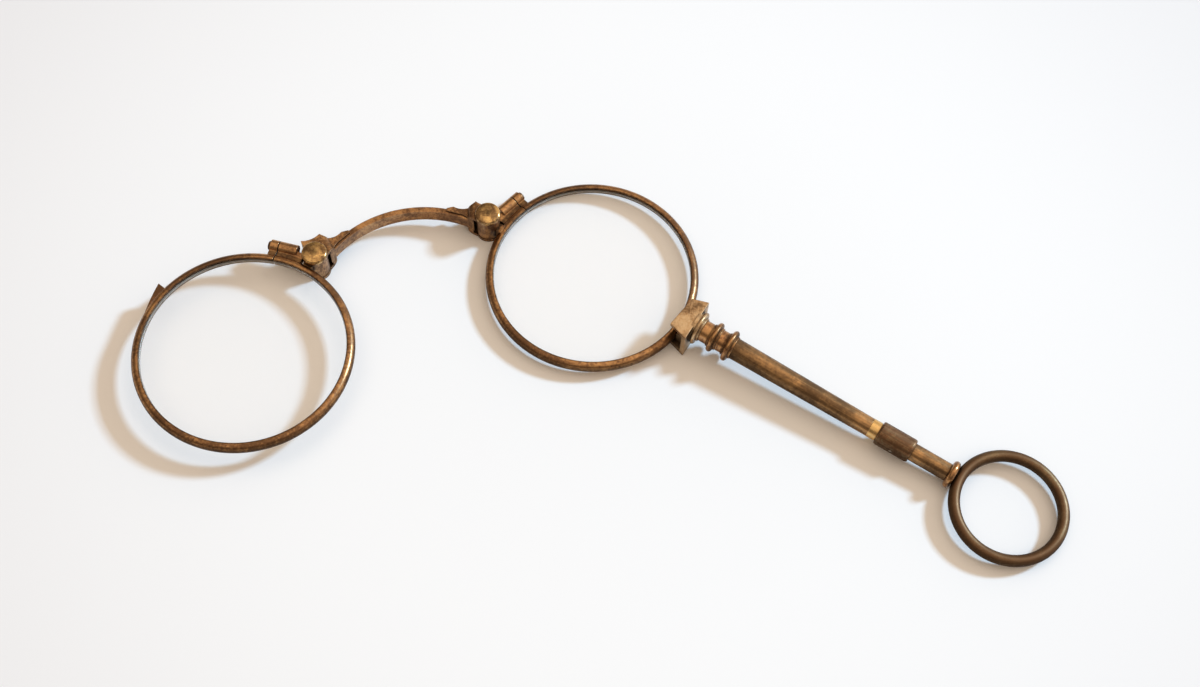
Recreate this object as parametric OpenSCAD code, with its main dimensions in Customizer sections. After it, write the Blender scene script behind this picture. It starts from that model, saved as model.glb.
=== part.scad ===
// Folding lorgnette lying open on a table. The right lens is fixed to a hollow turned handle
// that ends in a finger ring, and the left lens hangs on a sprung two-hinge bow.
// Origin at the bottom centre of the open lorgnette, +X from the left lens to the right lens,
// +Y to the bow's side and +Z up from the table, square to the lenses.

/* [Lenses and rims] */
// Distance between the two lens centres when open
pupil_distance = 61.2; // [57:0.1:68]
// Diameter of each lens over its bevelled edge
lens_d = 35.4; // [33:0.1:38]
// Thickness of a lens at its centre
lens_centre_t = 1.6; // [1.3:0.05:1.9]
// Thickness of a lens at its edge, before the bevel
lens_edge_t = 1; // [0.8:0.05:1.2]
// Depth of the groove that holds the lens edge
groove_depth = 0.3; // [0.2:0.05:0.5]
// Width of the rim seen from the front
rim_w = 1.35; // [1:0.05:1.6]
// Height of the rim along the optical axis
rim_h = 2.1; // [1.7:0.05:2.3]
// Width of the flat on the rim's face
rim_face = 0.4; // [0.3:0.05:0.9]
// Gap between the two rims when the left one is folded over the right one
rim_gap = 0.3; // [0.2:0.05:0.6]
// Height of the right rim's underside above the table
rim_lift = 0.9; // [0.85:0.05:1.6]
// Play between the lens edge and the bottom of its groove
lens_play = 0.05; // [0.02:0.01:0.1]

/* [Rim closing barrels] */
// Angle of a barrel's middle round its lens, from the line between the lenses
barrel_angle = 59.8; // [56:0.2:66]
// Diameter of a closing barrel
barrel_d = 2.3; // [1.9:0.1:2.8]
// Gap between a barrel and its rim
barrel_gap = 0.6; // [0.4:0.05:1]
// Length of the barrel's half on the hinge side
barrel_near = 3.2; // [2.6:0.1:3.8]
// Length of the barrel's outer half
barrel_far = 1.4; // [1:0.1:2]
// Width of the cut that parts the rim
split_w = 0.2; // [0.15:0.05:0.4]
// Height of the web that joins a barrel to its rim and to the hinge
web_h = 1; // [0.8:0.05:1.4]
// Diameter of the closing screw
screw_d = 1; // [0.8:0.05:1.2]
// Diameter of the closing screw's head
screw_head_d = 1.8; // [1.4:0.1:2.2]

/* [Hinges] */
// Angle of a hinge round its lens, from the line between the lenses
hinge_angle = 44; // [42:0.2:48]
// Diameter of a hinge drum
drum_d = 4.2; // [3.8:0.1:4.8]
// Wall of a hinge drum
drum_wall = 0.5; // [0.35:0.05:0.6]
// Height of a drum's top above the middle of the left rim
drum_over = 0.6; // [0.5:0.05:0.85]
// Gap between a drum and the other rim once folded
drum_gap = 0.2; // [0.15:0.05:0.4]
// Diameter of a hinge pin
pin_d = 1; // [0.8:0.05:1.2]
// Radial running clearance of the hinge pins, the latch rod and the collar
running = 0.05; // [0.02:0.01:0.08]
// Thickness of a drum's floor and of its lid
drum_floor = 0.6; // [0.4:0.05:0.8]
// Width of the lug between a drum and its rim
lug_w = 1.6; // [1:0.1:2]
// Thickness of the yoke's bottom plate
plate_t = 0.65; // [0.5:0.05:0.7]
// Thickness of the yoke's top plate
top_plate_t = 0.55; // [0.4:0.05:0.8]
// End play of a drum between the yoke's plates
end_play = 0.1; // [0.05:0.01:0.15]
// Width of the slot between a drum and the yoke's upright
slot_w = 0.6; // [0.3:0.05:0.8]
// Thickness of the yoke's upright
upright_t = 0.9; // [0.6:0.05:1]
// Radius of the rounded corners of the yoke's upright
yoke_round = 1.1; // [0.5:0.1:1.5]
// Height of the domed hinge cap
cap_h = 0.95; // [0.85:0.05:1.2]
// Rise of the cap's shallow dome
cap_dome = 0.2; // [0.1:0.05:0.35]
// Radius of the cap's rounded edge
cap_round = 0.45; // [0.3:0.05:0.5]
// Diameter of the hinge spring's wire
hinge_wire = 0.3; // [0.2:0.02:0.34]
// Number of turns in a hinge spring
hinge_turns = 3.5; // [2:0.25:3.75]

/* [Bow] */
// Thickness of the bow's strip, seen from the front
bow_t = 1; // [0.8:0.05:1.3]
// Height of the bow's strip along the optical axis
bow_h = 2.6; // [2:0.1:3]
// Height of the bow's middle above the table
bow_z = 3.15; // [2.8:0.05:3.4]
// Gap between the bow and a rim folded against it
bow_gap = 0.35; // [0.25:0.05:0.6]
// Height of the scalloped bracket where it lies on the bow
bracket_h = 3.2; // [2.6:0.1:3.6]
// Reach of the bracket's middle point beyond the left drum
left_point_2 = 2; // [1.2:0.05:2.2]
// Reach of the bracket's end point beyond the left drum
left_point_3 = 1.55; // [0.2:0.05:1.7]
// Reach of the bracket's middle point beyond the right drum
right_point_2 = 1.45; // [1.2:0.05:2.2]
// Reach of the bracket's end point beyond the right drum, where it is worn down
right_point_3 = 0.2; // [0.2:0.05:1.7]
// Depth of the scallop between the two points at the drum
scallop_a = 0.4; // [0.2:0.05:0.5]
// Depth of the scallop between the drum and the bow
scallop_b = 0.75; // [0.3:0.05:0.9]

/* [Latch tooth] */
// Angle of the tooth's catch face round the left lens
tooth_angle = 126.2; // [124:0.1:129]
// Angle that the tooth's ramp covers
tooth_span = 21.5; // [14:0.5:24]
// Height of the tooth above the rim
tooth_rise = 1.15; // [0.8:0.05:1.3]
// Thickness of the tooth along the optical axis
tooth_h = 1.5; // [1:0.1:1.7]

/* [Handle head] */
// Angle of the handle below the line between the lenses
handle_angle = 47.75; // [44:0.05:52]
// Distance from the rim's outside to the inside of the head's back wall
channel_depth = 1.4; // [1.3:0.05:1.8]
// Depth of the head from the back wall's inside to the rear of its disc
head_back = 1.85; // [1.5:0.05:2.2]
// Thickness of the back wall in front of the groove
back_wall = 0.85; // [0.5:0.05:1]
// Gap between the head's back wall and the disc behind it
head_groove_w = 0.3; // [0.2:0.05:0.4]
// Diameter of the disc behind the head
disc_d = 6; // [5:0.1:6.6]
// Depth of the groove in front of the disc
head_groove_depth = 0.4; // [0.3:0.05:0.8]
// Length of the head's front edge
head_front_l = 6.1; // [5.6:0.1:7]
// Length of the head's rear edge
head_rear_l = 8.1; // [7:0.1:8.6]
// Distance from the rim's outside in to the head's front edge
head_over = 0.95; // [0.8:0.05:1.3]
// Amount by which each end of the head's front edge runs out of square
head_skew = 0.35; // [0:0.05:0.5]
// Clear height of the channel above the folded left rim
channel_over = 0.4; // [0.3:0.05:0.7]
// Thickness of the head's top plate
head_top_t = 0.8; // [0.6:0.05:1.1]
// Length of the seat that carries the right rim in the head
saddle_l = 5; // [4:0.1:6]

/* [Handle] */
// Diameter of the turned neck
neck_d = 3.8; // [3.2:0.1:4]
// Distance from the head to the start of the tube
neck_l = 6.6; // [5.5:0.1:8]
// Diameter of the first bead on the neck
bead_1_d = 5.5; // [4.6:0.1:6]
// Diameter of the second bead on the neck
bead_2_d = 5.7; // [4.6:0.1:6]
// Thickness of the beads on the neck
bead_t = 0.95; // [0.7:0.05:1.2]
// Distance from the head to the middle of the first bead
bead_1 = 2.76; // [2:0.02:3.2]
// Distance from the head to the middle of the second bead
bead_2 = 5.72; // [4.8:0.02:5.8]
// Length of the tapered tube
tube_l = 26.4; // [22:0.1:32]
// Diameter of the tube at the neck
tube_d1 = 3.8; // [3.5:0.05:4.2]
// Diameter of the tube at its rear end
tube_d2 = 3.25; // [3.1:0.05:3.5]
// Diameter of the bore through the tube
tube_bore = 2.2; // [1.8:0.1:2.3]
// Length of the bright stop ring
stop_l = 1.6; // [1.2:0.05:2.8]
// Diameter of the stop ring
stop_d = 3.35; // [3.1:0.05:3.6]
// Diameter of the stem under the collar
stem_d = 3.1; // [2.8:0.05:3.4]
// Diameter of the stem's front end, which fits in the tube and the stop ring
stem_front_d = 2.6; // [2.4:0.1:2.8]
// Diameter of the bore in the stem
stem_bore = 1.7; // [1.6:0.05:1.9]
// Length of the stem that is hidden in the tube
stem_socket = 2; // [1.5:0.1:3]
// Visible length of the stem behind the collar
stem_l = 6.8; // [6:0.05:9]

/* [Release latch] */
// Length of the sliding collar
collar_l = 6.3; // [4.5:0.1:7]
// Diameter of the sliding collar
collar_d = 4.2; // [3.8:0.1:4.6]
// Travel of the collar
latch_travel = 1.8; // [1.4:0.1:2.2]
// Diameter of the latch rod
rod_d = 1.4; // [1.2:0.05:1.5]
// Width of the bolt at the rod's tip
bolt_w = 0.7; // [0.5:0.05:0.75]
// Distance from the rim's outside to the tip of the bolt
bolt_gap = 0.7; // [0.5:0.05:0.9]
// Diameter of the cross pin
cross_pin_d = 0.8; // [0.6:0.05:0.9]
// Length of the rod behind the cross pin
rod_tail = 1.4; // [1:0.1:2]
// Diameter of the latch spring's wire
latch_wire = 0.24; // [0.18:0.02:0.26]
// Number of turns in the latch spring
latch_turns = 7.5; // [5:0.25:8]

/* [Finger ring] */
// Diameter of the bead in front of the finger ring
end_bead_d = 4.9; // [4.2:0.1:5.4]
// Thickness of the bead in front of the finger ring
end_bead_t = 1.2; // [0.9:0.05:1.6]
// Inside diameter of the finger ring
ring_d = 16.4; // [14:0.1:19]
// Thickness of the finger ring's wire
ring_wire = 2; // [1.5:0.05:2.4]
// Height of the flat land inside the finger ring
ring_land = 0.7; // [0.4:0.05:1]

/* [Hidden] */
$fn = 96;
// Fineness of a long curve that borders a small piece
fine_fn = 360;

brass = [0.56, 0.42, 0.27];
dark_brass = [0.42, 0.31, 0.2];
bright_brass = [0.72, 0.55, 0.3];
steel = [0.55, 0.56, 0.58];
glass = [0.86, 0.9, 0.9, 0.4];

// Small overlap that lets a cut run past the face it opens
past = 1;
// Small overlap that joins two shapes of one piece
lap = 0.1;

// Rims, in the plane of the lenses
lens_r = lens_d / 2;
rim_ir = lens_r - groove_depth;
rim_or = rim_ir + rim_w;
groove_r = lens_r + lens_play;
right_level = rim_lift + rim_h / 2;
left_level = right_level + rim_h + rim_gap;
// Radius of the rim's rounded outside
rim_bulge = rim_w - rim_face;
rim_round = (pow(rim_h / 2, 2) + pow(rim_bulge, 2)) / (2 * rim_bulge);
lens_flat = (lens_centre_t - lens_edge_t) / 2;
lens_ball = (pow(lens_r, 2) + pow(lens_flat, 2)) / (2 * lens_flat);

// Hinges and the bow's centre, on the left half
drum_r = drum_d / 2;
hinge_reach = rim_or + drum_gap + drum_r;
hinge_x = pupil_distance / 2 - hinge_reach * cos(hinge_angle);
hinge_y = hinge_reach * sin(hinge_angle);
bow_drop = sqrt(pow(hinge_reach, 2) - pow(hinge_x, 2));
bow_y = hinge_y - bow_drop;
bow_ir = rim_or + bow_gap;
bow_or = bow_ir + bow_t;
bow_mid_r = bow_ir + bow_t / 2;
// Turn of each hinge that lays the left lens on the right one
fold_angle = 180 - hinge_angle - atan2(bow_drop, hinge_x);
echo(fold_angle = fold_angle);

// Yoke, in its own plane: u runs to the upright and v away from the lenses
upright_u = drum_r + slot_w;
yoke_u = upright_u + upright_t;
bow_meets = upright_u + upright_t / 2;
bow_lean = acos(
    (pow(hinge_reach, 2) + pow(bow_meets, 2) - pow(bow_mid_r, 2)) / (2 * hinge_reach * bow_meets)
);
yoke_turn = bow_lean - atan2(bow_drop, hinge_x);
bow_centre_uv = hinge_reach * [cos(bow_lean), -sin(bow_lean)];
drum_z = plate_t + end_play;
drum_top = left_level + drum_over;
top_plate_z = drum_top + end_play;
yoke_h = top_plate_z + top_plate_t;
plate_over = 0.1;
plate_r = drum_r + plate_over;
drum_play = 0.2;
drum_room = drum_r + drum_play;
pin_r = pin_d / 2;
cap_over = 0.15;
cap_r = drum_r + cap_over;
// Play at each end of a spring
spring_play = 0.05;
cap_ball = (pow(cap_r - cap_round, 2) + pow(cap_dome, 2)) / (2 * cap_dome);
// How far a pin's ends reach into the cap
pin_in_cap = 0.4;

// Point in the yoke's plane that lies lift outside the bow, arc millimetres along it
function on_bow(arc, lift) =
    let (a = 180 - bow_lean - arc / bow_or * 180 / PI)
    bow_centre_uv + (bow_or + lift) * [cos(a), sin(a)];
function around_drum(a, reach) = (drum_r + reach) * [cos(a), sin(a)];
// Where the bracket runs out on the bow, and its three points
bracket_end = 7.4;
point_1 = on_bow(6.3, 0.55);
point_2_angle = 51.5;
point_3_angle = 104;
// Where the bracket leaves the drum's far side
bracket_start = around_drum(150, -0.6);
// How far the bracket's foot reaches past the upright, and below the hinge's middle
bracket_foot = [0.6, 2];
// Distance from the slot to the bow's end, which is let into the upright
bow_stop = 0.3;

// Closing barrels
barrel_r = barrel_d / 2;
barrel_reach = rim_or + barrel_gap + barrel_r;
barrel_l = barrel_near + split_w + barrel_far;
screw_r = screw_d / 2;
screw_head_t = 0.45;
screw_head_taper = 0.15;
screw_slot_w = 0.2;
// How far the screw's tip stays inside the barrel
screw_short = 0.3;
// Length of the web between a barrel and its drum
web_l = barrel_reach * (barrel_angle - hinge_angle) * PI / 180 - barrel_l / 2 - drum_r / 2;

// Handle, measured from the rear face of the head
channel_a = rim_or + channel_depth;
head_a = channel_a + head_back;
head_z = left_level + rim_h / 2 + channel_over;
head_top = head_z + head_top_t;
head_front_a = rim_or - head_over;
groove_a = channel_a + back_wall;
disc_t = head_back - back_wall - head_groove_w;
boss_over = 0.25;
boss_r = neck_d / 2 + boss_over;
boss_l = 0.35;
spigot_r = 1.15;
spigot_l = 0.7;
tube_spigot_l = 2;
tube_0 = neck_l;
tube_1 = tube_0 + tube_l;
stop_1 = tube_1 + stop_l;
collar_0 = stop_1 + running;
collar_1 = collar_0 + collar_l;
stem_1 = collar_1 + stem_l;
ring_r = ring_d / 2;
wire_r = ring_wire / 2;
// The ring's wire is flattened inside, so its middle line lies nearer than a full wire radius
ring_mid_r = ring_r + sqrt(pow(wire_r, 2) - pow(ring_land / 2, 2));
ring_bite = 0.1;
ring_t = stem_1 + end_bead_t - ring_bite + wire_r + ring_mid_r;
// Slope of the handle that brings the end bead or the far side of the ring down to the table
rake = asin(min(
    (left_level - end_bead_d / 2) / (stem_1 + end_bead_t / 2),
    (left_level - wire_r) / (ring_t + ring_mid_r)
));

// Latch, measured along the handle in the same way
rod_r = rod_d / 2;
bolt_tip = rim_or + bolt_gap - head_a;
cross_pin_t = collar_0 + collar_l / 2;
rod_end = cross_pin_t + rod_tail;
cross_pin_r = cross_pin_d / 2;
slot_end_play = 0.1;
plug_l = 2;
spring_0 = rod_end + spring_play;
spring_1 = stem_1 - plug_l - spring_play;
// How far the cross pin's ends stay inside the collar
cross_pin_short = 0.1;
bolt_bevel = 45;

// Bottom centre of the open lorgnette, which becomes the origin
ring_x = pupil_distance / 2 + (head_a + ring_t * cos(rake)) * cos(handle_angle);
ring_y = -(head_a + ring_t * cos(rake)) * sin(handle_angle);
ring_lean_x = sin(rake) * cos(handle_angle);
ring_lean_y = sin(rake) * sin(handle_angle);
x_max = ring_x + ring_mid_r * sqrt(1 - pow(ring_lean_x, 2)) + wire_r;
x_min = -pupil_distance / 2 - rim_or;
y_min = ring_y - ring_mid_r * sqrt(1 - pow(ring_lean_y, 2)) - wire_r;
y_max = bow_y + bow_or;
middle = [(x_min + x_max) / 2, (y_min + y_max) / 2];
echo(origin_shift = middle, hinge = [hinge_x, hinge_y], bow_y = bow_y, rake = rake);
echo(ring_centre = [ring_x - middle.x, ring_y - middle.y, left_level - ring_t * sin(rake)]);
echo(levels = [right_level, left_level], head_top = head_top, head_a = head_a, ring_t = ring_t);

// Places
module placed() { translate([-middle.x, -middle.y, 0]) children(); }
module left_side() { placed() translate([-pupil_distance / 2, 0, 0]) children(); }
module right_side() { placed() mirror([1, 0, 0]) translate([-pupil_distance / 2, 0, 0]) children(); }
module at_hinge() { rotate([0, 0, hinge_angle]) translate([hinge_reach, 0, 0]) children(); }
// Hinge axis with u along +X, seen from the lens centre
module at_yoke() {
    translate([hinge_reach * cos(hinge_angle), hinge_reach * sin(hinge_angle), 0])
        rotate([0, 0, yoke_turn]) children();
}
// Closing barrel with +X along it, away from the hinge
module at_barrel(level) {
    rotate([0, 0, barrel_angle]) translate([barrel_reach, 0, level]) rotate([0, 0, 90])
        translate([-barrel_l / 2, 0, 0]) children();
}
// Head of the handle, with +X out along the handle and level
module at_head() {
    placed() translate([pupil_distance / 2, 0, 0]) rotate([0, 0, -handle_angle]) children();
}
// Raked handle, with +X along it from the rear face of the head and +Z up
module on_handle(t = 0) {
    at_head() translate([head_a, 0, left_level]) rotate([0, rake, 0]) translate([t, 0, 0])
        children();
}
module turned(t = 0) { on_handle(t) rotate([0, 90, 0]) children(); }

// Tube of round wire wound into a coil that stands on z = 0, with n sides
module coil(mean_r, wire_r, height, turns, n = 6, steps = 14) {
    count = ceil(turns * steps);
    rise = height - 2 * wire_r;
    ring = [for (k = [0:n - 1]) 360 * k / n];
    points = [
        for (i = [0:count]) let (a = 360 * turns * i / count, z = wire_r + rise * i / count)
        for (b = ring)
            [(mean_r + wire_r * cos(b)) * cos(a), (mean_r + wire_r * cos(b)) * sin(a), z + wire_r * sin(b)]
    ];
    sides = [
        for (i = [0:count - 1]) for (k = [0:n - 1])
        let (p = i * n + k, q = i * n + (k + 1) % n)
        each [[p, q + n, q], [p, p + n, q + n]]
    ];
    ends = [
        for (k = [1:n - 2]) each [[0, k, k + 1], [count * n, count * n + k + 1, count * n + k]]
    ];
    polyhedron(points, concat(sides, ends));
}

// Section of a rim: flat inside with a groove, rounded outside
module rim_section() {
    difference() {
        intersection() {
            translate([rim_ir, -rim_h / 2]) square([rim_w, rim_h]);
            translate([rim_or - rim_round, 0]) circle(r = rim_round);
        }
        rim_groove();
    }
}
module rim_groove() {
    polygon([
        [rim_ir - past, -lens_edge_t / 2 - lens_play], [rim_ir, -lens_edge_t / 2 - lens_play],
        [groove_r, 0], [rim_ir, lens_edge_t / 2 + lens_play],
        [rim_ir - past, lens_edge_t / 2 + lens_play]
    ]);
}
module rim_ring(level) { translate([0, 0, level]) rotate_extrude() rim_section(); }

// Rim with its lug, its two barrel halves and the cut between them
module rim(level) {
    lug_top = min(level + rim_h / 2, drum_top);
    lug_bottom = level - rim_h / 2;
    difference() {
        union() {
            rim_ring(level);
            rotate([0, 0, hinge_angle])
                translate([rim_or - rim_w / 2, -lug_w / 2, lug_bottom])
                    cube([hinge_reach - rim_or + rim_w / 2, lug_w, lug_top - lug_bottom]);
            at_barrel(level) {
                rotate([0, 90, 0]) cylinder(r = barrel_r, h = barrel_l);
                translate([0, 0, -web_h / 2])
                    cube([barrel_l, barrel_reach - rim_or + rim_w / 3, web_h]);
            }
            rotate([0, 0, (hinge_angle + barrel_angle) / 2])
                translate([rim_or - rim_w / 3, -web_l / 2, level - web_h / 2])
                    cube([barrel_gap + barrel_r + rim_w / 3, web_l, web_h]);
        }
        at_hinge() translate([0, 0, -past]) cylinder(r = drum_r, h = drum_top + 2 * past);
        at_barrel(level) {
            translate([-past, 0, 0]) rotate([0, 90, 0]) cylinder(r = screw_r, h = barrel_l + 2 * past);
            translate([barrel_near, 0, 0]) rotate([0, 90, 0])
                cylinder(r = screw_r + running, h = barrel_l);
            translate([barrel_near, -barrel_r - past, -rim_h])
                cube([split_w, barrel_reach + past, 2 * rim_h]);
        }
    }
}

// Lens with two shallow domes and a bevelled edge
module lens(level) {
    bands = 14;
    flat_r = rim_ir - lens_play;
    dome = [
        for (i = [0:bands]) let (r = flat_r * i / bands)
        [r, lens_centre_t / 2 - lens_ball + sqrt(pow(lens_ball, 2) - pow(r, 2))]
    ];
    under = [for (i = [bands:-1:0]) [dome[i].x, -dome[i].y]];
    color(glass) translate([0, 0, level]) rotate_extrude()
        polygon(concat(dome, [[flat_r, lens_edge_t / 2], [lens_r, 0], [flat_r, -lens_edge_t / 2]], under));
}

module rim_screw(level) {
    color(steel) at_barrel(level) difference() {
        union() {
            translate([screw_short, 0, 0]) rotate([0, 90, 0])
                cylinder(r = screw_r, h = barrel_l - screw_short);
            translate([barrel_l, 0, 0]) rotate([0, 90, 0]) cylinder(
                r1 = screw_head_d / 2, r2 = screw_head_d / 2 - screw_head_taper, h = screw_head_t
            );
        }
        translate([barrel_l + screw_head_t / 2, -barrel_r, -screw_slot_w / 2])
            cube([past, barrel_d, screw_slot_w]);
    }
}

// Drum with a floor and a cavity for its spring
module hinge_drum() {
    color(brass) at_hinge() translate([0, 0, drum_z]) difference() {
        cylinder(r = drum_r, h = drum_top - drum_z);
        translate([0, 0, drum_floor]) cylinder(r = drum_r - drum_wall, h = drum_top);
        translate([0, 0, -past]) cylinder(r = pin_r + running, h = drum_top);
    }
}
module drum_lid() {
    color(brass) at_hinge() translate([0, 0, drum_top - drum_floor]) difference() {
        cylinder(r = drum_r - drum_wall, h = drum_floor);
        translate([0, 0, -past]) cylinder(r = pin_r + running, h = drum_floor + 2 * past);
    }
}
module hinge_spring() {
    color(steel) at_hinge() translate([0, 0, drum_z + drum_floor + spring_play])
        coil(
            (pin_r + drum_r - drum_wall) / 2, hinge_wire / 2,
            drum_top - drum_z - 2 * (drum_floor + spring_play), hinge_turns
        );
}

// Outline of the bracket and its points, in the yoke's plane
module scallop(p, q, depth) {
    chord = norm(q - p);
    r = (pow(chord, 2) / 4 + pow(depth, 2)) / (2 * depth);
    out = [p.y - q.y, q.x - p.x] / chord;
    translate((p + q) / 2 + out * (r - depth)) circle(r = r);
}
module bracket_outline(reach) {
    point_2 = around_drum(point_2_angle, reach[0]);
    point_3 = around_drum(point_3_angle, reach[1]);
    difference() {
        polygon([
            bracket_start, point_3, point_2, point_1, on_bow(bracket_end, 0),
            on_bow(bracket_end, -bow_t / 2), on_bow(yoke_u + bracket_foot.x, -bow_t / 2),
            [yoke_u, 0], [yoke_u, -bracket_foot.y], [0, 0]
        ]);
        scallop(point_3, point_2, scallop_a);
        scallop(point_2, point_1, scallop_b);
        translate(bow_centre_uv) circle(r = bow_ir);
    }
}
module plate_outline(reach) {
    circle(r = plate_r);
    bracket_outline(reach);
}
module wall_outline(reach) {
    difference() {
        bracket_outline(reach);
        circle(r = drum_room);
        translate([-drum_d, -drum_d]) square([drum_d + upright_u, drum_d + bracket_foot.x]);
    }
}
// Side of the yoke: square at the drum, rounded at the upright
module yoke_side() {
    translate([-drum_d, 0]) square([drum_d + yoke_u - yoke_round, yoke_h]);
    translate([0, yoke_round]) square([yoke_u, yoke_h - 2 * yoke_round]);
    for (z = [yoke_round, yoke_h - yoke_round]) translate([yoke_u - yoke_round, z]) circle(r = yoke_round);
}
module yoke(reach) {
    color(brass) difference() {
        at_yoke() difference() {
            union() {
                intersection() {
                    union() {
                        linear_extrude(plate_t) plate_outline(reach);
                        translate([0, 0, top_plate_z]) linear_extrude(top_plate_t) plate_outline(reach);
                        linear_extrude(yoke_h) wall_outline(reach);
                    }
                    translate([0, 2 * drum_d, 0]) rotate([90, 0, 0]) linear_extrude(4 * drum_d) yoke_side();
                }
                translate([0, 0, bow_z - bracket_h / 2]) linear_extrude(bracket_h) difference() {
                    bracket_outline(reach);
                    translate([-drum_d, -drum_d]) square([drum_d + yoke_u - yoke_round, 3 * drum_d]);
                }
            }
            translate([0, 0, -past]) cylinder(r = pin_r, h = yoke_h + 2 * past);
        }
        translate([pupil_distance / 2, 0, 0]) bow_solid();
    }
}
// Arched strip between the yokes, with its ends let into them
module bow_solid() {
    half_turn = atan2(hinge_x, bow_drop) - (upright_u + bow_stop) / bow_mid_r * 180 / PI;
    translate([0, bow_y, bow_z - bow_h / 2]) rotate([0, 0, 90 - half_turn])
        rotate_extrude(angle = 2 * half_turn) translate([bow_ir, 0]) square([bow_t, bow_h]);
}
module hinge_pin() {
    color(dark_brass) at_hinge() cylinder(r = pin_r, h = yoke_h + pin_in_cap);
}
// Section of a cap: a rounded edge below a shallow dome
module cap_section() {
    edge_z = cap_h - cap_dome - cap_round;
    square([cap_r, edge_z]);
    intersection() {
        union() {
            square([cap_r - cap_round, cap_h]);
            translate([cap_r - cap_round, edge_z]) circle(r = cap_round);
        }
        translate([0, cap_h - cap_ball]) circle(r = cap_ball);
        square([cap_r, cap_h]);
    }
}
module hinge_cap() {
    color(brass) at_hinge() translate([0, 0, yoke_h]) difference() {
        rotate_extrude() cap_section();
        translate([0, 0, -past]) cylinder(r = pin_r, h = past + pin_in_cap);
    }
}

// Ramp that rises round the left rim to a steep catch face
module tooth() {
    steps = 10;
    tooth_sink = 0.35;
    ramp_curve = 1.5;
    outer = [
        for (i = [0:steps]) let (k = i / steps, a = tooth_angle + tooth_span * k)
        (rim_or - tooth_sink + (tooth_rise + tooth_sink) * pow(1 - k, ramp_curve)) * [cos(a), sin(a)]
    ];
    inner = [
        for (i = [steps:-1:0]) let (a = tooth_angle + tooth_span * i / steps)
        (rim_or - rim_w / 2) * [cos(a), sin(a)]
    ];
    color(dark_brass) difference() {
        translate([0, 0, left_level - tooth_h / 2]) linear_extrude(tooth_h) polygon(concat(outer, inner));
        translate([0, 0, left_level]) rotate_extrude($fn = fine_fn)
            translate([rim_or - rim_round, 0]) circle(r = rim_round);
    }
}

// Channel block: a seat for the right rim below, a channel for the left rim above
module head_outline(from) {
    reach = groove_a - head_front_a;
    slope = (head_rear_l - head_front_l) / 2 / reach;
    front = head_front_l / 2;
    rear = head_rear_l / 2;
    intersection() {
        polygon([
            [head_front_a - head_skew, -front + slope * head_skew], [groove_a, -rear],
            [groove_a, rear], [head_front_a + head_skew, front + slope * head_skew]
        ]);
        translate([from, -head_rear_l]) square([groove_a, 2 * head_rear_l]);
    }
}
module head_block() {
    color(brass) difference() {
        union() {
            at_head() {
                linear_extrude(rim_lift) head_outline(0);
                translate([0, 0, head_z]) linear_extrude(head_top_t) head_outline(0);
                linear_extrude(head_top) head_outline(channel_a);
                translate([rim_ir, -saddle_l / 2, rim_lift])
                    cube([channel_a - rim_ir + lap, saddle_l, rim_h]);
            }
            turned(-disc_t / 2) cylinder(r = boss_r, h = disc_t / 2 + boss_l);
            turned(-head_back + back_wall / 2) cylinder(
                r = disc_d / 2 - head_groove_depth, h = head_back - (back_wall + disc_t) / 2
            );
            turned(-disc_t) rotate_extrude() bead_section(disc_d / 2, disc_t, disc_t / 2);
        }
        at_head() translate([0, 0, rim_lift]) cylinder(r = rim_or, h = rim_h + rim_gap);
        turned(boss_l - spigot_l) cylinder(r = spigot_r, h = spigot_l + past);
        turned(-head_back - channel_depth) cylinder(r = rod_r + running, h = head_back + channel_depth + past);
    }
}

// Turned bead with a half-round edge
module bead_section(r, t, mid) {
    translate([0, mid - t / 2]) square([r - t / 2, t]);
    translate([r - t / 2, mid]) circle(r = t / 2);
}
module neck() {
    fillet = 0.35;
    color(brass) turned() difference() {
        rotate_extrude() {
            translate([0, boss_l]) square([neck_d / 2, neck_l - boss_l]);
            translate([0, boss_l - spigot_l]) square([spigot_r, spigot_l + lap]);
            translate([0, neck_l - lap]) square([tube_bore / 2, tube_spigot_l]);
            bead_section(bead_1_d / 2, bead_t, bead_1);
            bead_section(bead_2_d / 2, bead_t, bead_2);
            for (mid = [bead_1, bead_2]) translate([0, mid - bead_t / 2 - fillet])
                square([neck_d / 2 + fillet / 2, bead_t + 2 * fillet]);
        }
        translate([0, 0, -spigot_l - past])
            cylinder(r = rod_r + running, h = neck_l + spigot_l + tube_spigot_l + 2 * past);
    }
}
module handle_tube() {
    color(dark_brass) turned(tube_0) difference() {
        cylinder(r1 = tube_d1 / 2, r2 = tube_d2 / 2, h = tube_l);
        translate([0, 0, -past]) cylinder(r = tube_bore / 2, h = tube_l + 2 * past);
        translate([0, 0, tube_l - stem_socket])
            cylinder(r = stem_front_d / 2, h = stem_socket + past);
    }
}
module stop_ring() {
    color(bright_brass) turned(tube_1) difference() {
        cylinder(r = stop_d / 2, h = stop_l);
        translate([0, 0, -past]) cylinder(r = stem_front_d / 2, h = stop_l + 2 * past);
    }
}
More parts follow.
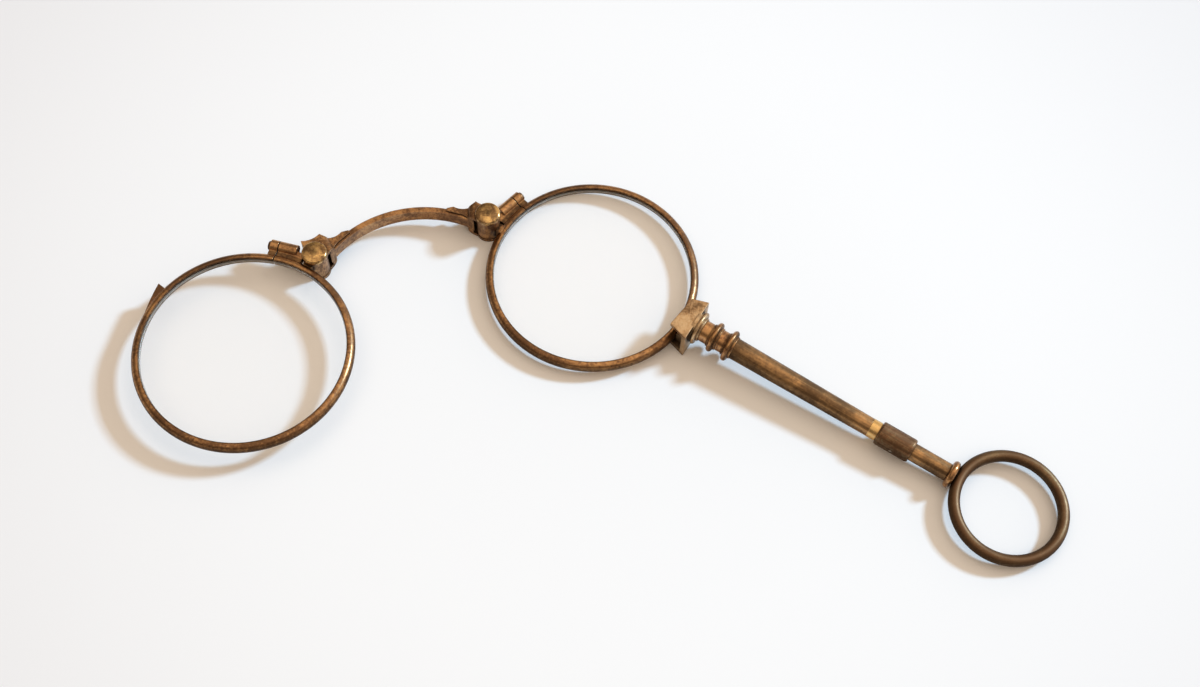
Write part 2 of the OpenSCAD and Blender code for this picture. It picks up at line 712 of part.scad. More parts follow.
// Tube that carries the collar, with a slot on each side for the cross pin
module stem() {
    from = tube_1 - stem_socket;
    slot_0 = cross_pin_t - cross_pin_r - slot_end_play;
    slot_l = latch_travel + cross_pin_d + 2 * slot_end_play;
    color(brass) difference() {
        union() {
            turned(from) cylinder(r = stem_front_d / 2, h = stem_1 - from);
            turned(stop_1) cylinder(r = stem_d / 2, h = stem_1 - stop_1);
        }
        turned(from - past) cylinder(r = stem_bore / 2, h = stem_1 - from + 2 * past);
        on_handle(slot_0) translate([0, -stem_d, -cross_pin_r - running])
            cube([slot_l, 2 * stem_d, cross_pin_d + 2 * running]);
    }
}
module end_bead() {
    color(brass) difference() {
        turned(stem_1) {
            rotate_extrude() bead_section(end_bead_d / 2, end_bead_t, end_bead_t / 2);
            translate([0, 0, -plug_l]) cylinder(r = stem_bore / 2, h = plug_l + lap);
        }
        ring_torus();
    }
}
module ring_torus() {
    on_handle(ring_t) rotate_extrude() difference() {
        translate([ring_mid_r, 0]) circle(r = wire_r);
        translate([0, -wire_r]) square([ring_r, ring_wire]);
    }
}
module finger_ring() { color(brass) ring_torus(); }

// Rod with a narrow bevelled bolt at its front end
module latch_rod() {
    color(steel) difference() {
        turned(bolt_tip) cylinder(r = rod_r, h = rod_end - bolt_tip);
        on_handle(bolt_tip - past) translate([0, bolt_w - rod_r, -rod_r - past])
            cube([past + channel_a - rim_or - bolt_gap - running, rod_d, rod_d + 2 * past]);
        on_handle(bolt_tip) rotate([0, 0, -bolt_bevel])
            translate([-rod_d, -rod_r - past, -rod_r - past])
                cube([rod_d - rod_r * sin(bolt_bevel), rod_d + 2 * past, rod_d + 2 * past]);
        on_handle(cross_pin_t) rotate([90, 0, 0]) translate([0, 0, -rod_d])
            cylinder(r = cross_pin_r, h = 2 * rod_d);
    }
}
module release_collar() {
    lip = 0.3;
    color(dark_brass) difference() {
        turned(collar_0) {
            cylinder(r1 = collar_d / 2 - lip / 2, r2 = collar_d / 2, h = lip);
            translate([0, 0, lip]) cylinder(r = collar_d / 2, h = collar_l - 2 * lip);
            translate([0, 0, collar_l - lip])
                cylinder(r1 = collar_d / 2, r2 = collar_d / 2 - lip / 2, h = lip);
        }
        turned(collar_0 - past) cylinder(r = stem_d / 2 + running, h = collar_l + 2 * past);
        on_handle(cross_pin_t) rotate([90, 0, 0]) translate([0, 0, -collar_d])
            cylinder(r = cross_pin_r, h = 2 * collar_d);
    }
}
module cross_pin() {
    color(steel) on_handle(cross_pin_t) rotate([90, 0, 0])
        translate([0, 0, cross_pin_short - collar_d / 2])
            cylinder(r = cross_pin_r, h = collar_d - 2 * cross_pin_short);
}
module latch_spring() {
    color(steel) turned(spring_0) coil(
        (stem_bore / 2 + latch_wire / 2) / 2, latch_wire / 2, spring_1 - spring_0, latch_turns
    );
}

module right_rim() { color(brass) right_side() rim(right_level); }
module right_lens() { right_side() lens(right_level); }
module right_rim_screw() { right_side() rim_screw(right_level); }
module right_hinge_drum() { right_side() hinge_drum(); }
module right_drum_lid() { right_side() drum_lid(); }
module right_hinge_spring() { right_side() hinge_spring(); }
module bow() { color(brass) placed() bow_solid(); }
module right_yoke() { right_side() yoke([right_point_2, right_point_3]); }
module right_hinge_pin() { right_side() hinge_pin(); }
module right_hinge_cap() { right_side() hinge_cap(); }
module left_yoke() { left_side() yoke([left_point_2, left_point_3]); }
module left_hinge_pin() { left_side() hinge_pin(); }
module left_hinge_cap() { left_side() hinge_cap(); }
module left_rim() { color(brass) left_side() rim(left_level); }
module left_lens() { left_side() lens(left_level); }
module left_rim_screw() { left_side() rim_screw(left_level); }
module left_hinge_drum() { left_side() hinge_drum(); }
module left_drum_lid() { left_side() drum_lid(); }
module left_hinge_spring() { left_side() hinge_spring(); }
module latch_tooth() { left_side() tooth(); }

right_rim();
right_lens();
right_rim_screw();
right_hinge_drum();
right_drum_lid();
right_hinge_spring();
head_block();
neck();
handle_tube();
stop_ring();
stem();
end_bead();
finger_ring();
bow();
right_yoke();
right_hinge_pin();
right_hinge_cap();
left_yoke();
left_hinge_pin();
left_hinge_cap();
left_rim();
left_lens();
left_rim_screw();
left_hinge_drum();
left_drum_lid();
left_hinge_spring();
latch_tooth();
latch_rod();
release_collar();
cross_pin();
latch_spring();
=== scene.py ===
"""Looks of a folding brass lorgnette that lies open on a pale table."""

import math

import bpy
from bpy.props import FloatProperty, FloatVectorProperty, PointerProperty
from mathutils import Matrix, Vector


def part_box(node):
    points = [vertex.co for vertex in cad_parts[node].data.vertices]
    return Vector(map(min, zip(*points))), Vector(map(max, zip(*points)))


bl_info = {
    "name": "Lorgnette",
    "version": (1, 0, 0),
    "blender": (4, 5, 0),
    "location": "3D View > Sidebar > Lorgnette",
    "description": "Aged brass and glass for a folding lorgnette",
    "category": "Object",
}

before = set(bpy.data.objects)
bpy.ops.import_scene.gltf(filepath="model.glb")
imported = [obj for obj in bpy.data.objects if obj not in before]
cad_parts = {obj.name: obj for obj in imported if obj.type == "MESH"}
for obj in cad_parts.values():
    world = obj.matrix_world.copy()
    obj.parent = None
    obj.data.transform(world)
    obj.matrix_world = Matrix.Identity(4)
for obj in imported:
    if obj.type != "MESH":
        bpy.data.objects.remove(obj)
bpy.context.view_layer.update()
MM = 0.001
X, Y, Z = Vector((1, 0, 0)), Vector((0, 1, 0)), Vector((0, 0, 1))


def srgb(red, green, blue):
    """Linear colour of a shade given from 0 to 255."""
    return tuple(
        c / 12.92 if c <= 0.04045 else ((c + 0.055) / 1.055) ** 2.4
        for c in (red / 255, green / 255, blue / 255)
    )


def opaque(colour):
    """The colour with full alpha."""
    return (*colour, 1.0)


def centre_of(node):
    """Middle of a node's box, in millimetres."""
    low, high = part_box(node)
    return (low + high) / 2 / MM


def radius_of(node):
    """Half the width of a round node that lies flat, in millimetres."""
    low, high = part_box(node)
    return (high.x - low.x) / 2 / MM


# The two lenses and the rims that hold their edges in a groove
RIGHT_EYE = centre_of("right_lens")
LEFT_EYE = centre_of("left_lens")
PUPIL = RIGHT_EYE.x - LEFT_EYE.x
GROOVE = 0.3
RIM_INSIDE = radius_of("right_lens") - GROOVE
RIM_WIDTH = 1.35
RIM_OUTSIDE = RIM_INSIDE + RIM_WIDTH

# The handle's own directions
TUBE_MIDDLE = centre_of("handle_tube")
RING_MIDDLE = centre_of("finger_ring")
HANDLE_WAY = (RING_MIDDLE - TUBE_MIDDLE).normalized()
HANDLE_SIDE = HANDLE_WAY.cross(Z).normalized()
HANDLE_UP = HANDLE_SIDE.cross(HANDLE_WAY)

# The head's level direction, and its channel's end and roof from the right lens
HEAD_OUT = Vector((HANDLE_WAY.x, HANDLE_WAY.y, 0)).normalized()
CHANNEL_END = RIM_OUTSIDE + 1.4
CHANNEL_ROOF = 3.8

# Places of the neck's two beads from the tube's middle, and radii along the handle
BEADS = (-17.04, -14.08)
TUBE_RADIUS = 1.8
COLLAR_RADIUS = 2.1
RING_WIRE = 1.0
RING_RADIUS = radius_of("finger_ring") - RING_WIRE

# Half the side of the table, in metres, and the painted pool of light on it, in millimetres
TABLE_HALF = 3.0
BRIGHT_MIDDLE = (12, 15, 0)
BRIGHT_RADIUS, DIM_RADIUS = 50, 190

# The main lamp, in metres
WINDOW_AWAY = 2.5
WINDOW_WIDTH, WINDOW_DEPTH = 0.32, 0.28

# The camera's place in millimetres, where it looks and what is to its right
EYE_PLACE = Vector((-33.873, -103.68, 242.791))
EYE_LOOK = Vector((0.14538, 0.42701, -0.89248))
EYE_RIGHT = Vector((0.96181, -0.27246, 0.02631))


class Term:
    """A value that changes over a surface. Arithmetic on it adds Math nodes."""

    def __init__(self, finish, socket):
        self.finish, self.socket = finish, socket

    def maths(self, operation, *others):
        return self.finish.add("Math", {"operation": operation}, dict(enumerate((self, *others))))

    def __add__(self, other):
        return self.maths("ADD", other)

    __radd__ = __add__

    def __mul__(self, other):
        return self.maths("MULTIPLY", other)

    __rmul__ = __mul__

    def __sub__(self, other):
        return self.maths("SUBTRACT", other)

    def __rsub__(self, other):
        return (self - other) * -1

    def __truediv__(self, other):
        return self.maths("DIVIDE", other)

    def __pow__(self, other):
        return self.maths("POWER", other)

    def size(self):
        """Its value without the sign."""
        return self.maths("ABSOLUTE")

    def or_more(self, other):
        """The larger of the two."""
        return self.maths("MAXIMUM", other)

    def between(self, low, high):
        """0 below low, 1 above high and smooth between them."""
        return self.finish.add(
            "MapRange",
            {"interpolation_type": "SMOOTHSTEP"},
            {"Value": self, "From Min": low, "From Max": high},
        )


def distance(a, b):
    """How far away a point is, from its places along two ways."""
    return (a * a + b * b) ** 0.5


class Nodes:
    """The nodes of a material or of the room while they are added."""

    def __init__(self, owner):
        owner.use_nodes = True
        self.tree = owner.node_tree
        self.tree.nodes.clear()

    def add(self, kind, settings=None, inputs=None, output=0):
        """A node of that kind: its settings are set first, then its sockets."""
        node = self.tree.nodes.new("ShaderNode" + kind)
        for name, value in (settings or {}).items():
            setattr(node, name, value)
        for name, value in (inputs or {}).items():
            if isinstance(value, Term):
                self.tree.links.new(value.socket, node.inputs[name])
            else:
                node.inputs[name].default_value = value
        return Term(self, node.outputs[output]) if len(node.outputs) else None

    def vector(self, operation, a, b=(0, 0, 0), scale=1.0, output=0):
        return self.add(
            "VectorMath", {"operation": operation}, {0: a, 1: b, 3: scale}, output
        )

    def combine(self, x, y, z):
        return self.add("CombineXYZ", None, {"X": x, "Y": y, "Z": z})

    def blend(self, share, a, b):
        """Colour a where share is 0 and b where it is 1."""
        return self.add(
            "Mix",
            {"data_type": "RGBA"},
            {
                0: share,
                6: a if isinstance(a, Term) else opaque(a),
                7: b if isinstance(b, Term) else opaque(b),
            },
            output=2,
        )


class Finish(Nodes):
    """A material while it is built."""

    def __init__(self, name):
        self.material = bpy.data.materials.new(name)
        super().__init__(self.material)
        metres = self.add("TexCoord", output="Object")
        self.place = self.vector("SCALE", metres, scale=1 / MM)

    def from_point(self, origin, *ways):
        """Millimetres from origin along each of the ways."""
        rel = self.vector("SUBTRACT", self.place, tuple(origin))
        return [self.vector("DOT_PRODUCT", rel, tuple(way), output="Value") for way in ways]

    def noise(self, vector, scale=1.0, detail=2.0, roughness=0.5, seed=0.0):
        return self.add(
            "TexNoise",
            {"noise_dimensions": "4D"},
            {"Vector": vector, "W": seed, "Scale": scale, "Detail": detail, "Roughness": roughness},
        )

    def edges(self, radius):
        """Normal with its sharp edges rounded, and a mask that is 1 on them."""
        rounded = self.add("Bevel", {"samples": 6}, {"Radius": radius * MM})
        plain = self.add("NewGeometry", output="Normal")
        same = self.vector("DOT_PRODUCT", rounded, plain, output="Value")
        return rounded, (1 - same).between(0.02, 0.25)

    def grime_and_shade(self, reach):
        """Grime and painted shade: 1 deep in the corners and seams, within reach millimetres of
        them.
        """
        open_air = self.add("AmbientOcclusion", {"samples": 8}, {"Distance": reach * MM}, "AO")
        return (1 - open_air).between(0.15, 0.65)

    def bump(self, height, depth, normal):
        """That normal, roughened by a height that goes depth millimetres deep."""
        return self.add(
            "Bump",
            None,
            {"Height": height, "Distance": depth * MM, "Strength": 1.0, "Normal": normal},
        )

    def finished(self, shader, sockets):
        """The material, once that shader covers it."""
        surface = self.add(shader, None, sockets)
        self.add("OutputMaterial", None, {"Surface": surface})
        return self.material


def along_handle(finish):
    """Streaks drawn along the handle."""
    t, side, up = finish.from_point(TUBE_MIDDLE, HANDLE_WAY, HANDLE_SIDE, HANDLE_UP)
    place = finish.combine(t * 0.12, side * 3.2, up * 3.2)
    return finish.noise(place, detail=4.0, roughness=0.65)


def turned(finish):
    """Fine rings left by the lathe."""
    t, side, up = finish.from_point(TUBE_MIDDLE, HANDLE_WAY, HANDLE_SIDE, HANDLE_UP)
    place = finish.combine(t * 7, side * 0.35, up * 0.35)
    return finish.noise(place, detail=3.0, roughness=0.6)


def round_point(point, across=5.0, around=4.5):
    """Streaks that run round a point in the plane of the lenses."""

    def streaks(finish):
        x, y, z = finish.from_point(point, X, Y, Z)
        radius = distance(x, y)
        place = finish.combine(x / radius * around, y / radius * around, radius * across)
        return finish.noise(place, scale=5.0, detail=3.0, roughness=0.6, seed=z * across)

    return streaks


def upright(finish):
    """Streaks that run up and down."""
    x, y, z = finish.from_point((0, 0, 0), X, Y, Z)
    place = finish.combine(x * 4, y * 4, z * 0.5)
    return finish.noise(place, detail=3.0, roughness=0.6)


def slanting(finish):
    """Worn scratches across the head, in two directions."""
    leaning, crossing = HANDLE_SIDE + HEAD_OUT * 0.5, HEAD_OUT - HANDLE_SIDE * 0.5
    a, b, z = finish.from_point(TUBE_MIDDLE, leaning, crossing, Z)
    one = finish.noise(finish.combine(a * 0.6, b * 5, z * 3), detail=4.0, roughness=0.7)
    other = finish.noise(
        finish.combine(a * 4, b * 0.8, z * 3), detail=3.0, roughness=0.6, seed=4.0
    )
    return one * 0.6 + other * 0.4


def round_sides(radius):
    """Painted shade on the two sides of the handle, where its round surface turns away."""

    def sides(finish):
        (side,) = finish.from_point(TUBE_MIDDLE, HANDLE_SIDE)
        return (side.size() / radius).between(0.72, 1.0)

    return sides


def in_channel(finish):
    """Painted shade in the head's channel, under its roof, where the folded rim rests."""
    out, z = finish.from_point(RIGHT_EYE, HEAD_OUT, Z)
    before_end = 1 - out.between(CHANNEL_END, CHANNEL_END + 0.1)
    below_roof = 1 - z.between(CHANNEL_ROOF, CHANNEL_ROOF + 0.06)
    return before_end * below_roof


def beside_beads(finish):
    """Painted shade in the creases at the two feet of each bead on the neck."""
    (t,) = finish.from_point(TUBE_MIDDLE, HANDLE_WAY)
    foot = 0.55
    first, second = [1 - ((t - bead).size() - foot).size().between(0.1, 0.45) for bead in BEADS]
    return first.or_more(second)


def painted_dent(centre):
    """A painted dark reflection of a dent in the middle of a cap."""

    def dent_reflection(finish):
        x, y = finish.from_point(centre, X, Y)
        return 1 - distance(x, y).between(0.15, 1.1)

    return dent_reflection


def ring_edges(finish):
    """Painted shade on the inside and the outside of the finger ring, where its round wire turns
    away.
    """
    t, side = finish.from_point(RING_MIDDLE, HANDLE_WAY, HANDLE_SIDE)
    from_wire = (distance(t, side) - RING_RADIUS).size() / RING_WIRE
    return from_wire.between(0.5, 0.95)


def rim_edges(eye):
    """Painted shade on a rim's inner edge, low on its outside and between it and its barrel."""

    def edges(finish):
        x, y = finish.from_point(eye, X, Y)
        radius = distance(x, y)
        inner = 1 - radius.between(RIM_INSIDE + 0.05, RIM_INSIDE + 0.25)
        outer = radius.between(RIM_OUTSIDE - 0.3, RIM_OUTSIDE - 0.05)
        barrel = radius.between(RIM_OUTSIDE + 0.5, RIM_OUTSIDE + 0.8)
        return inner.or_more(outer * (1 - barrel))

    return edges


def aged_brass(name, streaks, clean, dark, warm, tarnish=0.5, wear=0.6, gloss=0.24, edge=0.14,
               scratch=0.006, seed=0.0, patch=0.35, reach=1.0, mottled=1.0, shade=None):
    """Brass with tarnish in patches, streaks from its making, grime and painted shade in its seams
    and worn edges.

    Clean, dark and warm are its three colours. Edge, scratch and reach are millimetres:
    how far edges are rubbed, how deep the streaks are and how wide the grime and painted
    shade spread. Gloss is the lowest roughness, patch the number of tarnish patches to a
    millimetre, and shade adds painted shade of its own.
    """
    finish = Finish(name)
    streak = streaks(finish)
    clouds = finish.noise(finish.place, patch, detail=4.0, roughness=0.6, seed=seed)
    mottle = finish.noise(finish.place, 2.6, detail=3.0, roughness=0.6, seed=seed + 3)
    specks = finish.noise(finish.place, 9.0, detail=2.0, roughness=0.6, seed=seed + 7)
    rounded, edges = finish.edges(edge)
    # Grime, and painted shade, in the corners and seams; shade adds more painted shade
    grime_and_shade = finish.grime_and_shade(reach)
    if shade:
        grime_and_shade = grime_and_shade.or_more(shade(finish) * (0.45 + mottle * 0.5))

    spots = (mottle - 0.5) * mottled + 0.5
    least = 0.62 - tarnish * 0.24
    dull = (clouds * 0.55 + spots * 0.3 + streak * 0.35).between(least, least + 0.18)

    metal = finish.blend((spots * 0.6 + clouds * 0.5).between(0.42, 0.7), clean, warm)
    metal = finish.blend(dull * 0.85, metal, dark)
    metal = finish.blend(streak.between(0.55, 0.75) * 0.35, metal, clean)
    metal = finish.blend(specks.between(0.62, 0.74) * (0.55 * mottled), metal, dark)
    metal = finish.blend(edges * wear * (1 - grime_and_shade), metal, finishes().worn)
    # Corners, seams and shaded places are painted near black: grime, and painted shade
    shade_and_soot = tuple(c * 0.3 for c in dark)
    metal = finish.blend(grime_and_shade * 0.9, metal, shade_and_soot)

    pitted = specks.between(0.6, 0.75)
    rough = gloss + dull * 0.14 + streak * 0.1 + pitted * 0.12 + grime_and_shade * 0.25
    return finish.finished(
        "BsdfPrincipled",
        {
            "Base Color": metal,
            "Metallic": 1.0,
            "Roughness": rough - edges * 0.06,
            "Normal": finish.bump(streak * 0.7 + specks * 0.3, scratch, rounded),
        },
    )


def give(material, *nodes):
    """Puts the material on those nodes."""
    for name in nodes:
        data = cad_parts[name].data
        data.materials.clear()
        data.materials.append(material)


class LorgnetteFinishes(bpy.types.PropertyGroup):
    brass: FloatVectorProperty(
        name="Brass", description="Clean brass", subtype="COLOR", default=srgb(184, 142, 96)
    )
    tarnish: FloatVectorProperty(
        name="Tarnish", description="Brown tarnish", subtype="COLOR", default=srgb(84, 63, 45)
    )
    copper: FloatVectorProperty(
        name="Copper tone", description="Red tone of old brass", subtype="COLOR",
        default=srgb(168, 118, 84),
    )
    worn: FloatVectorProperty(
        name="Worn edges", description="Brass of edges rubbed bright", subtype="COLOR",
        default=srgb(214, 176, 142),
    )
    pale: FloatVectorProperty(
        name="Rubbed brass", description="Brass of the head, rubbed pale", subtype="COLOR",
        default=srgb(196, 172, 138),
    )
    gold: FloatVectorProperty(
        name="Bright band", description="Brass of the bright band and the caps", subtype="COLOR",
        default=srgb(214, 178, 118),
    )
    olive: FloatVectorProperty(
        name="Dull collar", description="Greenish brass of the collar", subtype="COLOR",
        default=srgb(122, 104, 78),
    )
    steel: FloatVectorProperty(
        name="Steel", description="Steel of pins and springs", subtype="COLOR",
        default=srgb(150, 144, 136),
    )
    wear: FloatProperty(
        name="Wear", description="How bright worn edges are", default=0.6, min=0, max=1,
        subtype="FACTOR",
    )
    glass: FloatVectorProperty(
        name="Glass", description="Tint of the lenses", subtype="COLOR",
        default=(0.995, 0.995, 0.995),
    )
    frosted: FloatVectorProperty(
        name="Lens edge", description="Ground edge of the lenses", subtype="COLOR",
        default=srgb(140, 132, 122),
    )


class LorgnetteStage(bpy.types.PropertyGroup):
    floor: FloatVectorProperty(
        name="Floor", description="Colour of the table", subtype="COLOR", default=(0.9, 0.9, 0.91)
    )
    # The table's colour where a fall-off of light is painted, away from the lorgnette
    painted_dim_floor: FloatVectorProperty(
        name="Far floor", description="Colour of the table away from the lorgnette",
        subtype="COLOR", default=(0.72, 0.7, 0.71),
    )
    lens: FloatProperty(
        name="Focal length", description="Camera's focal length in millimetres", default=47.035,
        min=20, max=120,
    )
    key: FloatProperty(
        name="Key light", description="Power of the main lamp", default=64.0, min=0, max=500,
        unit="POWER",
    )
    key_colour: FloatVectorProperty(
        name="Key colour", description="Colour of the main lamp", subtype="COLOR",
        default=(0.5, 0.76, 1.0),
    )
    key_turn: FloatProperty(
        name="Key direction", description="Direction of the main lamp round the table",
        subtype="ANGLE", unit="ROTATION", default=math.radians(8),
    )
    key_height: FloatProperty(
        name="Key height", description="Angle of the main lamp above the table",
        subtype="ANGLE", unit="ROTATION", default=math.radians(34), min=0, max=math.pi / 2,
    )
    air: FloatVectorProperty(
        name="Room light", description="Colour of the light from the room", subtype="COLOR",
        default=(1.0, 0.81, 0.62),
    )
    fill: FloatProperty(
        name="Fill", description="Strength of the surroundings", default=1.1, min=0, max=2
    )


def finishes():
    return bpy.context.scene.lorgnette_finishes


def stage():
    return bpy.context.scene.lorgnette_stage


class LORGNETTE_OT_rims(bpy.types.Operator):
    """Reddish brass of the two rims and the tooth"""

    bl_idname = "lorgnette.rims"
    bl_label = "Rims"

    def execute(self, context):
        f = finishes()
        for side, eye, seed in (("right", RIGHT_EYE, 1.0), ("left", LEFT_EYE, 11.0)):
            metal = aged_brass(
                f"{side}_rim_brass", round_point(eye), f.brass, f.tarnish, f.copper,
                tarnish=0.5, wear=f.wear, gloss=0.2, edge=0.1, seed=seed, patch=0.12, reach=0.5,
                shade=rim_edges(eye),
            )
            give(metal, f"{side}_rim")
        tooth = aged_brass(
            "tooth_brass", round_point(LEFT_EYE), f.copper, f.tarnish, f.copper,
            tarnish=0.8, wear=f.wear, gloss=0.26, edge=0.1, seed=5.0,
        )
        give(tooth, "latch_tooth")
        return {"FINISHED"}


class LORGNETTE_OT_lenses(bpy.types.Operator):
    """Clear glass that lets the lamps through, with a ground edge"""

    bl_idname = "lorgnette.lenses"
    bl_label = "Lenses"

    def execute(self, context):
        f = finishes()
        finish = Finish("lens_glass")
        x, y = finish.from_point(RIGHT_EYE, X, Y)
        eye_x = (x + PUPIL / 2).size() - PUPIL / 2
        ground = distance(eye_x, y).between(RIM_INSIDE - 0.2, RIM_INSIDE)
        dust = finish.noise(finish.place, 2.2, seed=2.0).between(0.72, 0.78)
        smear = finish.noise(finish.place, 0.12, detail=3.0, roughness=0.6, seed=6.0)
        glass = finish.add(
            "BsdfPrincipled",
            None,
            {
                "Base Color": opaque(f.glass),
                "Roughness": smear.between(0.35, 0.75) * 0.02 + dust * 0.15 + ground * 0.3,
                "IOR": 1.5,
                "Transmission Weight": 1.0,
            },
        )
        frosted = finish.add("BsdfDiffuse", None, {"Color": opaque(f.frosted)})
        lens = finish.add("MixShader", None, {0: ground * 0.7, 1: glass, 2: frosted})
        shadow = finish.add("LightPath", output="Is Shadow Ray")
        diffuse = finish.add("LightPath", output="Is Diffuse Ray")
        through = finish.add("BsdfTransparent", None, {"Color": opaque((0.985, 0.985, 0.985))})
        shown = finish.add("MixShader", None, {0: shadow.or_more(diffuse), 1: lens, 2: through})
        finish.add("OutputMaterial", None, {"Surface": shown})
        give(finish.material, "right_lens", "left_lens")
        return {"FINISHED"}


class LORGNETTE_OT_hinges(bpy.types.Operator):
    """Pinkish brass of the hinges: drums, lids, yokes and caps"""

    bl_idname = "lorgnette.hinges"
    bl_label = "Hinges"

    def execute(self, context):
        f = finishes()
        give(
            aged_brass("drum_brass", upright, f.brass, f.tarnish, f.copper, tarnish=0.55,
                       wear=f.wear, gloss=0.24, edge=0.12, seed=21.0),
            "right_hinge_drum", "left_hinge_drum", "right_drum_lid", "left_drum_lid",
        )
        give(
            aged_brass("yoke_brass", upright, f.brass, f.tarnish, f.copper, tarnish=0.6,
                       wear=f.wear, gloss=0.26, edge=0.14, seed=24.0),
            "right_yoke", "left_yoke",
        )
        for side, seed in (("right", 31.0), ("left", 36.0)):
            middle = centre_of(f"{side}_hinge_cap")
            cap = aged_brass(
                f"{side}_cap_brass", round_point(middle, across=4.0, around=1.8),
                f.gold, f.tarnish, f.brass, tarnish=0.4, wear=f.wear, gloss=0.15, edge=0.12,
                scratch=0.004, seed=seed, patch=0.6, shade=painted_dent(middle),
            )
            give(cap, f"{side}_hinge_cap")
        return {"FINISHED"}


class LORGNETTE_OT_bow(bpy.types.Operator):
    """Brass of the arched bow"""

    bl_idname = "lorgnette.bow"
    bl_label = "Bow"

    def execute(self, context):
        f = finishes()
        middle = (RIGHT_EYE + LEFT_EYE) / 2
        give(
            aged_brass("bow_brass", round_point(middle), f.brass, f.tarnish, f.copper,
                       tarnish=0.45, wear=f.wear, gloss=0.22, edge=0.14, seed=41.0),
            "bow",
        )
        return {"FINISHED"}


class LORGNETTE_OT_head(bpy.types.Operator):
    """Pale, scratched brass of the head"""

    bl_idname = "lorgnette.head"
    bl_label = "Head"

    def execute(self, context):
        f = finishes()
        give(
            aged_brass("head_brass", slanting, f.pale, f.tarnish, f.brass, tarnish=0.3,
                       wear=f.wear, gloss=0.28, edge=0.2, scratch=0.012, seed=51.0, patch=0.3,
                       reach=1.6, mottled=0.45, shade=in_channel),
            "head_block",
        )
        return {"FINISHED"}


class LORGNETTE_OT_handle(bpy.types.Operator):
    """Brass of the turned handle and the finger ring"""

    bl_idname = "lorgnette.handle"
    bl_label = "Handle"

    def execute(self, context):
        f = finishes()
        give(
            aged_brass("neck_brass", turned, f.brass, f.tarnish, f.copper, tarnish=0.35,
                       wear=f.wear, gloss=0.2, edge=0.12, seed=61.0, shade=beside_beads),
            "neck", "end_bead",
        )
        give(
            aged_brass("tube_brass", along_handle, f.brass, f.tarnish, f.olive, tarnish=0.6,
                       wear=f.wear, gloss=0.24, edge=0.12, seed=65.0, patch=0.16,
                       mottled=0.3, shade=round_sides(TUBE_RADIUS)),
            "handle_tube", "stem",
        )
        give(
            aged_brass("band_brass", turned, f.gold, f.brass, f.gold, tarnish=0.1,
                       wear=f.wear, gloss=0.16, edge=0.1, seed=71.0),
            "stop_ring",
        )
        give(
            aged_brass("ring_brass", round_point(RING_MIDDLE), f.olive, f.tarnish, f.copper,
                       tarnish=0.8, wear=f.wear, gloss=0.27, edge=0.1, seed=75.0, patch=0.16,
                       mottled=0.4, shade=ring_edges),
            "finger_ring",
        )
        return {"FINISHED"}


class LORGNETTE_OT_latch(bpy.types.Operator):
    """Dull collar and the metal of the latch, pins, screws and springs"""

    bl_idname = "lorgnette.latch"
    bl_label = "Latch"

    def execute(self, context):
        f = finishes()
        give(
            aged_brass("collar_brass", along_handle, f.olive, f.tarnish, f.copper, tarnish=0.55,
                       wear=f.wear, gloss=0.3, edge=0.2, scratch=0.012, seed=81.0, patch=0.4,
                       shade=round_sides(COLLAR_RADIUS)),
            "release_collar",
        )
        give(
            aged_brass("screw_brass", turned, f.copper, f.tarnish, f.brass, tarnish=0.8,
                       wear=f.wear, gloss=0.34, edge=0.1, seed=83.0),
            "right_rim_screw", "left_rim_screw",
        )
        give(
            aged_brass("pin_steel", upright, f.steel, f.tarnish, f.steel, tarnish=0.3,
                       wear=f.wear, gloss=0.25, edge=0.08, seed=85.0),
            "right_hinge_pin", "left_hinge_pin",
            "latch_rod", "cross_pin", "latch_spring", "right_hinge_spring", "left_hinge_spring",
        )
        return {"FINISHED"}


def lay_table():
    """A pale table with a painted pool of light: greyer away from the lorgnette."""
    mesh = bpy.data.meshes.new("table")
    corners = [(x * TABLE_HALF, y * TABLE_HALF, 0) for x, y in ((-1, -1), (1, -1), (1, 1), (-1, 1))]
    mesh.from_pydata(corners, [], [(0, 1, 2, 3)])
    table = bpy.data.objects.new("table", mesh)
    bpy.context.scene.collection.objects.link(table)
    finish = Finish("table_white")
    x, y = finish.from_point(BRIGHT_MIDDLE, X, Y)
    painted_dimming = distance(x, y).between(BRIGHT_RADIUS, DIM_RADIUS)
    tone = finish.blend(painted_dimming * 0.8, stage().floor, stage().painted_dim_floor)
    mesh.materials.append(finish.finished("BsdfDiffuse", {"Color": tone}))


def light_window():
    """The soft main lamp. Returns the way to it from the lorgnette."""
    s = stage()
    lamp = bpy.data.lights.new("window", "AREA")
    lamp.shape, lamp.size, lamp.size_y = "RECTANGLE", WINDOW_WIDTH, WINDOW_DEPTH
    lamp.energy, lamp.color = s.key, s.key_colour
    level = Vector((math.cos(s.key_turn), math.sin(s.key_turn), 0))
    way = level * math.cos(s.key_height) + Z * math.sin(s.key_height)
    window = bpy.data.objects.new("window", lamp)
    window.location = way * WINDOW_AWAY
    window.rotation_mode = "QUATERNION"
    window.rotation_quaternion = way.to_track_quat("Z", "Y")
    bpy.context.scene.collection.objects.link(window)
    return way


def light_room(way):
    """Warm light from the walls and the ceiling, and more of it from the window's side."""
    world = bpy.data.worlds.new("room")
    bpy.context.scene.world = world
    room = Nodes(world)
    way_out = room.add("TexCoord", output="Generated")
    up = room.vector("DOT_PRODUCT", way_out, tuple(Z), output="Value")
    to_window = room.vector("DOT_PRODUCT", way_out, tuple(way), output="Value")
    walls, ceiling = 1 - up.between(0.08, 0.28), up.between(0.62, 0.92)
    level = walls * 0.6 + ceiling * 0.7 + to_window.between(0.35, 0.98) * 0.6 + 0.22
    sockets = {"Color": opaque(stage().air), "Strength": level * stage().fill}
    light = room.add("Background", None, sockets)
    room.add("OutputWorld", None, {"Surface": light})


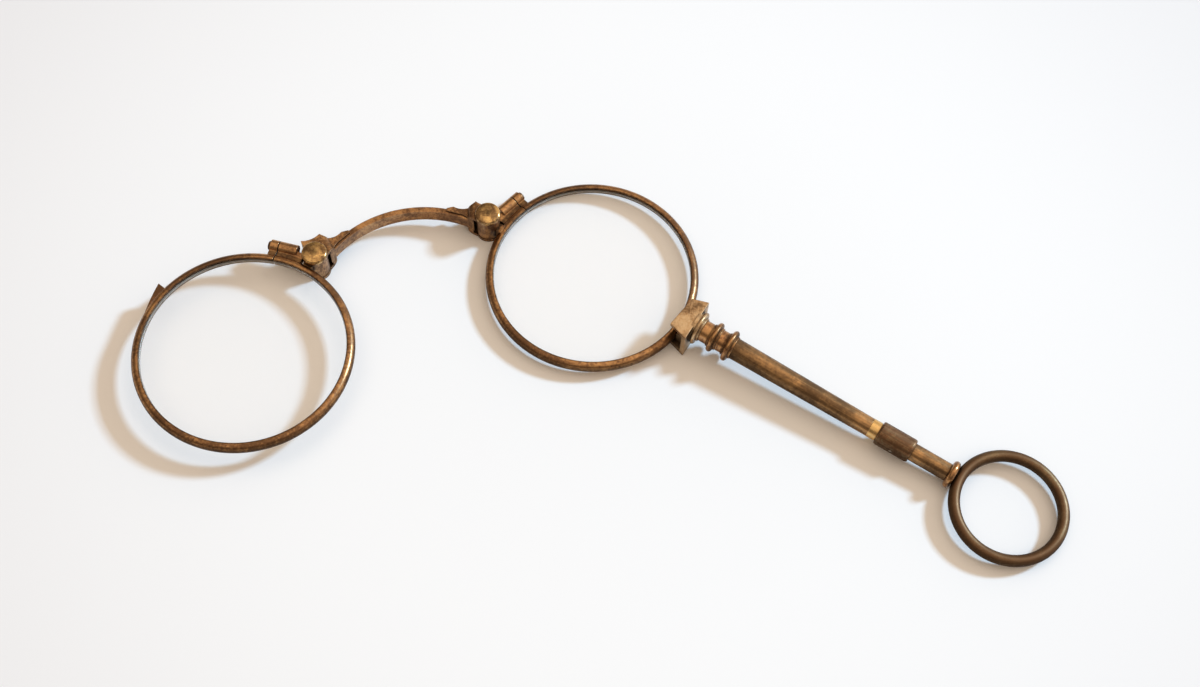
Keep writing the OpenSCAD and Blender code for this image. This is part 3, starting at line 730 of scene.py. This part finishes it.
def set_camera():
    """The camera at the photograph's viewing angle."""
    camera = bpy.data.cameras.new("camera")
    camera.sensor_width, camera.lens = 36.0, stage().lens
    camera.clip_start, camera.clip_end = 0.01, 20
    eye = bpy.data.objects.new("camera", camera)
    look = EYE_LOOK.normalized()
    right = (EYE_RIGHT - look * EYE_RIGHT.dot(look)).normalized()
    axes = Matrix((right, right.cross(look), -look)).transposed().to_4x4()
    eye.matrix_world = Matrix.Translation(EYE_PLACE * MM) @ axes
    bpy.context.scene.collection.objects.link(eye)
    bpy.context.scene.camera = eye


class LORGNETTE_OT_stage(bpy.types.Operator):
    """Pale table, soft light and the camera"""

    bl_idname = "lorgnette.stage"
    bl_label = "Stage"

    def execute(self, context):
        context.scene.view_settings.view_transform = "Standard"
        lay_table()
        light_room(light_window())
        set_camera()
        return {"FINISHED"}


MAKERS = (
    LORGNETTE_OT_stage, LORGNETTE_OT_rims, LORGNETTE_OT_lenses, LORGNETTE_OT_hinges,
    LORGNETTE_OT_bow, LORGNETTE_OT_head, LORGNETTE_OT_handle, LORGNETTE_OT_latch,
)


class LORGNETTE_PT_sidebar(bpy.types.Panel):
    """Colours and makers of the lorgnette"""

    bl_idname = "LORGNETTE_PT_sidebar"
    bl_label = "Lorgnette"
    bl_space_type = "VIEW_3D"
    bl_region_type = "UI"
    bl_category = "Lorgnette"

    def draw(self, context):
        scene = context.scene
        for group in (scene.lorgnette_finishes, scene.lorgnette_stage):
            for name in group.__annotations__:
                self.layout.prop(group, name)
        for maker in MAKERS:
            self.layout.operator(maker.bl_idname)


CLASSES = (LorgnetteFinishes, LorgnetteStage, *MAKERS, LORGNETTE_PT_sidebar)


def register():
    for cls in CLASSES:
        bpy.utils.register_class(cls)
    bpy.types.Scene.lorgnette_finishes = PointerProperty(type=LorgnetteFinishes)
    bpy.types.Scene.lorgnette_stage = PointerProperty(type=LorgnetteStage)


def unregister():
    del bpy.types.Scene.lorgnette_stage
    del bpy.types.Scene.lorgnette_finishes
    for cls in reversed(CLASSES):
        bpy.utils.unregister_class(cls)


def main():
    register()
    for maker in MAKERS:
        group, name = maker.bl_idname.split(".")
        getattr(getattr(bpy.ops, group), name)()


if __name__ == "__main__":
    main()
